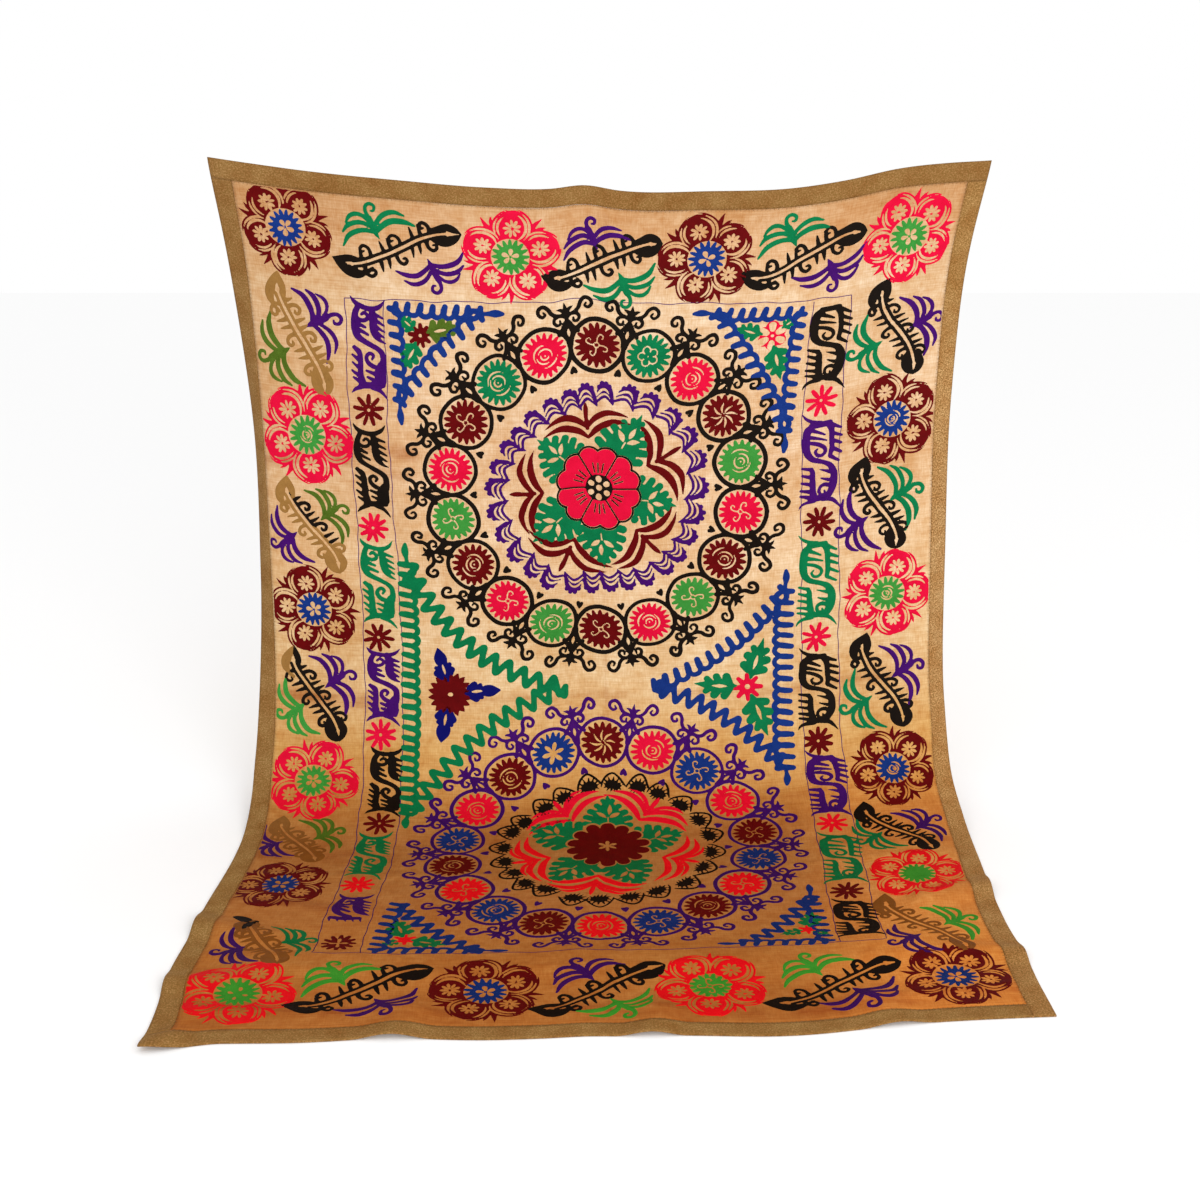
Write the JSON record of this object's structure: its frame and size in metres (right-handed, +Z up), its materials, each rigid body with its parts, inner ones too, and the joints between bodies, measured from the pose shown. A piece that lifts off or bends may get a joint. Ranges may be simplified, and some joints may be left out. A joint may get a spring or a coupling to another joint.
{
  "type": "suzani embroidered wall hanging",
  "caption": "Embroidered suzani cloth with round medallions and a sewn-on strip border, hung by its top edge and swept forward over the floor.",
  "frame": {"origin": "on the floor, under the middle of the whole hanging", "axes": "+Z up, the stitched face and the end that lies on the floor towards -Y, +X to the right of someone who looks at the stitched face"},
  "size_m": [1.5433, 1.1595, 1.3253],
  "materials": {
    "ground_cotton": "plain-woven cream cotton with uneven slubs, honey brown where it lies on the floor",
    "khaki_binding": "coarse speckled khaki brown cotton strip",
    "maroon_silk": "couched maroon silk, soft sheen",
    "pink_silk": "couched hot pink silk, soft sheen",
    "black_silk": "couched black silk, soft sheen",
    "purple_silk": "couched purple silk, soft sheen",
    "blue_silk": "couched blue silk, soft sheen",
    "emerald_silk": "couched emerald silk, soft sheen",
    "leaf_green_silk": "couched light green silk, soft sheen",
    "olive_silk": "couched olive silk, soft sheen",
    "tan_silk": "couched tan gold silk, soft sheen",
    "binding_thread": "brown sewing cotton"
  },
  "bodies": {
    "root": {"ground_panel": "ground_cotton", "binding_top": "khaki_binding", "binding_left": "khaki_binding", "binding_right": "khaki_binding", "binding_bottom": "khaki_binding"}
  },
  "joints": []
}
